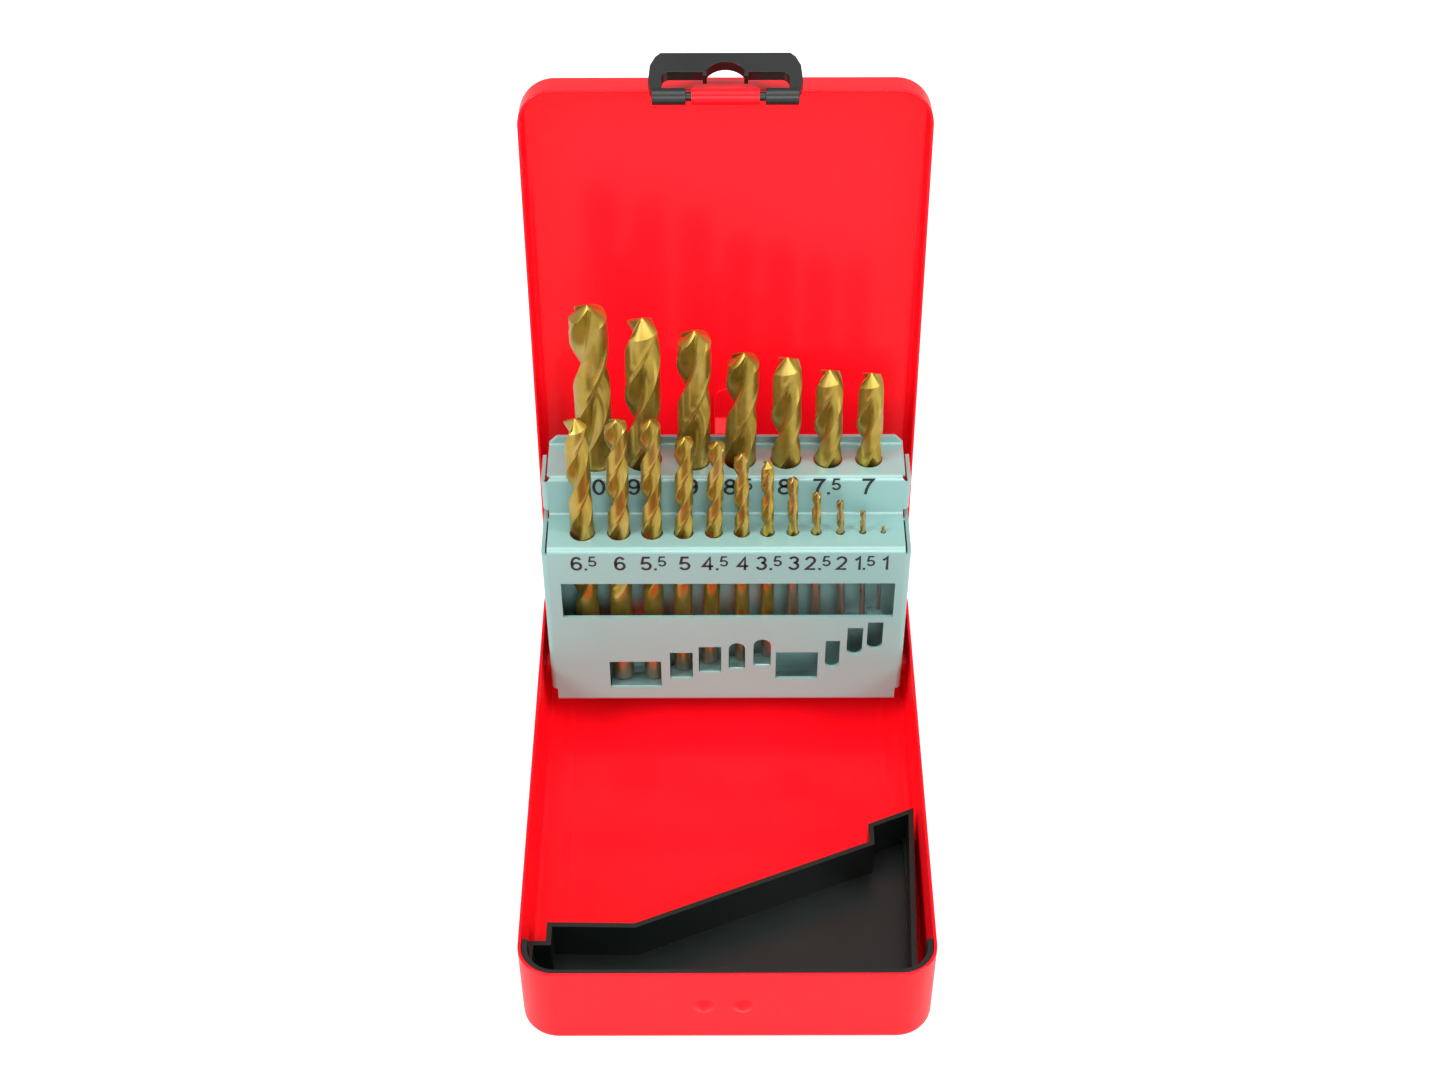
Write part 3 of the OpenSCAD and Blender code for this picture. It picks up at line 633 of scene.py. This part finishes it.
def printed(text, height, small, stroke):
    """A numeral flat in the XY plane, its half digit small and raised, centred on X."""
    bm = bmesh.new()
    cursor, size, lift = 0, height, 0
    for letter in text:
        for line in STROKES[letter]:
            pairs = []
            for i, p in enumerate(line):
                ahead = Vector(line[min(len(line) - 1, i + 1)]) - Vector(p)
                behind = Vector(p) - Vector(line[max(0, i - 1)])
                ahead = (ahead if ahead.length else behind).normalized()
                behind = (behind if behind.length else ahead).normalized()
                along = (ahead + behind).normalized()
                half = stroke / 2 / max(0.5, along.dot(ahead))
                pairs.append([bm.verts.new((cursor + size * (p[0] - side * along.y * half),
                                            lift + size * (p[1] + side * along.x * half), 0))
                              for side in (-1, 1)])
            for a, b in zip(pairs, pairs[1:]):
                bm.faces.new((a[0], b[0], b[1], a[1]))
        cursor += size * ADVANCE.get(letter, 0.74)
        if letter == ".":
            size, lift = height * small, height * 0.28
    bmesh.ops.translate(bm, verts=bm.verts, vec=(-cursor / 2, 0, 0))
    return bm


class DRILLCASE_OT_numerals(bpy.types.Operator):
    """Print the drill sizes on the rack's front plate and on its riser"""
    bl_idname = "drillcase.numerals"
    bl_label = "Numerals"

    def execute(self, context):
        sizes = context.scene.drillcase_case
        ink = printing_ink()
        rows = bmesh.new()
        for d, length, flute, x, row, foot, turn, lean in DRILLS:
            front = row < DECK_1
            height = sizes.numeral / MM * (1 if front else REAR_SHARE)
            bm = printed("%g" % d, height, HALF_SHARE, STROKE)
            across = x + (FRONT_PRINT_X if front else REAR_PRINT_X)
            y = RACK_Y + (0 if front else DECK_1) - INK_GAP
            z = RACK_Z + (FRONT_PRINT_Z if front else PLATE_H + REAR_PRINT_Z)
            bmesh.ops.rotate(bm, verts=bm.verts, cent=(0, 0, 0),
                             matrix=Matrix.Rotation(math.radians(90), 3, "X"))
            bmesh.ops.translate(bm, verts=bm.verts, vec=(across, y, z))
            bmesh.ops.recalc_face_normals(bm, faces=bm.faces)
            part = bpy.data.meshes.new("part")
            bm.to_mesh(part)
            rows.from_mesh(part)
            bm.free()
            bpy.data.meshes.remove(part)
        bmesh.ops.scale(rows, vec=(MM, MM, MM), verts=rows.verts)
        for face in rows.faces:
            if face.normal.y > 0:
                face.normal_flip()
        mesh = bpy.data.meshes.new("size_numerals")
        rows.to_mesh(mesh)
        rows.free()
        dress("size_numerals", mesh, ink, "rack", smooth=0)
        return {"FINISHED"}


class DRILLCASE_OT_drills(bpy.types.Operator):
    """Grind the nineteen twist drills and stand them in their holes"""
    bl_idname = "drillcase.drills"
    bl_label = "Twist drills"

    def execute(self, context):
        sizes, finish = context.scene.drillcase_drill, context.scene.drillcase_finish
        coated = nitrided_steel(finish)
        for d, length, flute, x, row, foot, turn, lean in DRILLS:
            step = sizes.step if d > 3 else sizes.step * 1.5
            rows = twist_drill(sizes, d, length, flute, turn, step)
            bm = bmesh.new()
            made = skin(bm, rows, close=False)
            end = bm.verts.new((0, 0, 0))
            tip = bm.verts.new((0, 0, length))
            count = len(made[0])
            for i in range(count):
                j = (i + 1) % count
                bm.faces.new((end, made[0][j], made[0][i]))
                bm.faces.new((tip, made[-1][i], made[-1][j]))
            bare = bm.verts.layers.float.new("bare")
            for v in bm.verts:
                z = v.co.z
                if d <= 2:
                    v[bare] = 1.0 if z < length - flute * 0.8 else 0.3
                elif d <= 3:
                    v[bare] = 0.7 if z < length - flute else 0.1
                else:
                    v[bare] = max(0.0, min(1.0, (9 - z) / 4))
            deck = (RACK_Z + PLATE_H + (RISER_H if row > DECK_1 else 0)) - foot
            angle = math.atan2(lean, length - deck)
            bmesh.ops.rotate(bm, verts=bm.verts, cent=(0, 0, deck),
                             matrix=Matrix.Rotation(angle, 3, "Y"))
            bmesh.ops.translate(bm, verts=bm.verts, vec=(x, RACK_Y + row, foot))
            name = "drill_%s" % ("%.1f" % d).replace(".", "_")
            piece = make_piece("twist_" + name, bm, coated, name, name, smooth=28)
        return {"FINISHED"}


class DRILLCASE_OT_stage(bpy.types.Operator):
    """Set the floor, the soft lights and the camera"""
    bl_idname = "drillcase.stage"
    bl_label = "Stage"

    def execute(self, context):
        light = context.scene.drillcase_stage
        scene = context.scene
        scene.view_settings.view_transform = "Standard"
        mesh = bpy.data.meshes.new("studio_floor")
        mesh.from_pydata([(-3, -3, 0), (3, -3, 0), (3, 3, 0), (-3, 3, 0)], [], [(0, 1, 2, 3)])
        floor = bpy.data.objects.new("studio_floor", mesh)
        scene.collection.objects.link(floor)
        paper = bpy.data.materials.new("white_paper_floor")
        paper.use_nodes = True
        tree = paper.node_tree
        matt = tree.nodes["Principled BSDF"]
        matt.inputs["Base Color"].default_value = (0.6, 0.6, 0.6, 1)
        matt.inputs["Roughness"].default_value = 0.9
        # The glow reaches the camera alone, and makes the lit paper white.
        path = add_node(tree, "ShaderNodeLightPath")
        glow = add_node(tree, "ShaderNodeEmission", {"Strength": path.outputs["Is Camera Ray"],
                        "Color": (0.62, 0.62, 0.62, 1)})
        both = add_node(tree, "ShaderNodeAddShader", {0: matt.outputs[0], 1: glow.outputs[0]})
        tree.links.new(both.outputs[0], tree.nodes["Material Output"].inputs["Surface"])
        mesh.materials.append(paper)

        world = bpy.data.worlds.new("studio_sky")
        world.use_nodes = True
        scene.world = world
        tree = world.node_tree
        sky = tree.nodes["Background"]
        path = add_node(tree, "ShaderNodeLightPath")
        seen = add_node(tree, "ShaderNodeMath", {0: path.outputs["Is Camera Ray"],
                        1: path.outputs["Is Transmission Ray"]}, operation="MAXIMUM")
        level = add_node(tree, "ShaderNodeMapRange", {"Value": seen.outputs[0],
                         "To Min": light.sky, "To Max": 1.0})
        sky.inputs["Color"].default_value = (1, 1, 1, 1)
        tree.links.new(level.outputs[0], sky.inputs["Strength"])

        for name, place, size, share in LAMPS:
            lamp = bpy.data.lights.new(name, "AREA")
            lamp.energy, lamp.size = light.key * share, size
            holder = bpy.data.objects.new(name, lamp)
            holder.location = place
            aim = Vector(LAMPS_AIM) - Vector(place)
            holder.rotation_euler = aim.to_track_quat("-Z", "Y").to_euler()
            scene.collection.objects.link(holder)

        lens = bpy.data.cameras.new("camera")
        lens.sensor_width, lens.lens, lens.shift_y = SENSOR, LENS, SHIFT_UP
        lens.clip_start, lens.clip_end = 0.01, 20
        camera = bpy.data.objects.new("camera", lens)
        camera.matrix_world = (Matrix.Translation([v * MM for v in CAMERA_AT])
                               @ Matrix.Rotation(math.radians(CAMERA_TURN), 4, "Z")
                               @ Matrix.Rotation(math.radians(90 - CAMERA_TILT), 4, "X")
                               @ Matrix.Rotation(math.radians(CAMERA_ROLL), 4, "Z"))
        scene.collection.objects.link(camera)
        scene.camera = camera
        return {"FINISHED"}


class DRILLCASE_PT_panel(bpy.types.Panel):
    """Lists the case's operators and sizes"""
    bl_idname = "DRILLCASE_PT_panel"
    bl_label = "Drill bit case"
    bl_space_type = "VIEW_3D"
    bl_region_type = "UI"
    bl_category = "Drill case"

    def draw(self, context):
        layout = self.layout
        for group in GROUPS:
            values = getattr(context.scene, group)
            for key in values.__annotations__:
                layout.prop(values, key)
        for operator in OPERATORS:
            layout.operator(operator.bl_idname)


GROUPS = {
    "drillcase_case": DRILLCASE_PG_case,
    "drillcase_drill": DRILLCASE_PG_drill,
    "drillcase_finish": DRILLCASE_PG_finish,
    "drillcase_stage": DRILLCASE_PG_stage,
}
OPERATORS = (DRILLCASE_OT_base, DRILLCASE_OT_lid, DRILLCASE_OT_plastic, DRILLCASE_OT_rack,
             DRILLCASE_OT_numerals, DRILLCASE_OT_drills, DRILLCASE_OT_stage)


def register():
    for cls in (*GROUPS.values(), *OPERATORS, DRILLCASE_PT_panel):
        bpy.utils.register_class(cls)
    for name, group in GROUPS.items():
        setattr(bpy.types.Scene, name, PointerProperty(type=group))


def unregister():
    for name in GROUPS:
        delattr(bpy.types.Scene, name)
    for cls in (DRILLCASE_PT_panel, *reversed(OPERATORS), *reversed(GROUPS.values())):
        bpy.utils.unregister_class(cls)


def main():
    register()
    bpy.ops.drillcase.base()
    bpy.ops.drillcase.lid()
    bpy.ops.drillcase.plastic()
    bpy.ops.drillcase.rack()
    bpy.ops.drillcase.numerals()
    bpy.ops.drillcase.drills()
    bpy.ops.drillcase.stage()
    bpy.context.view_layer.update()


if __name__ == "__main__":
    main()
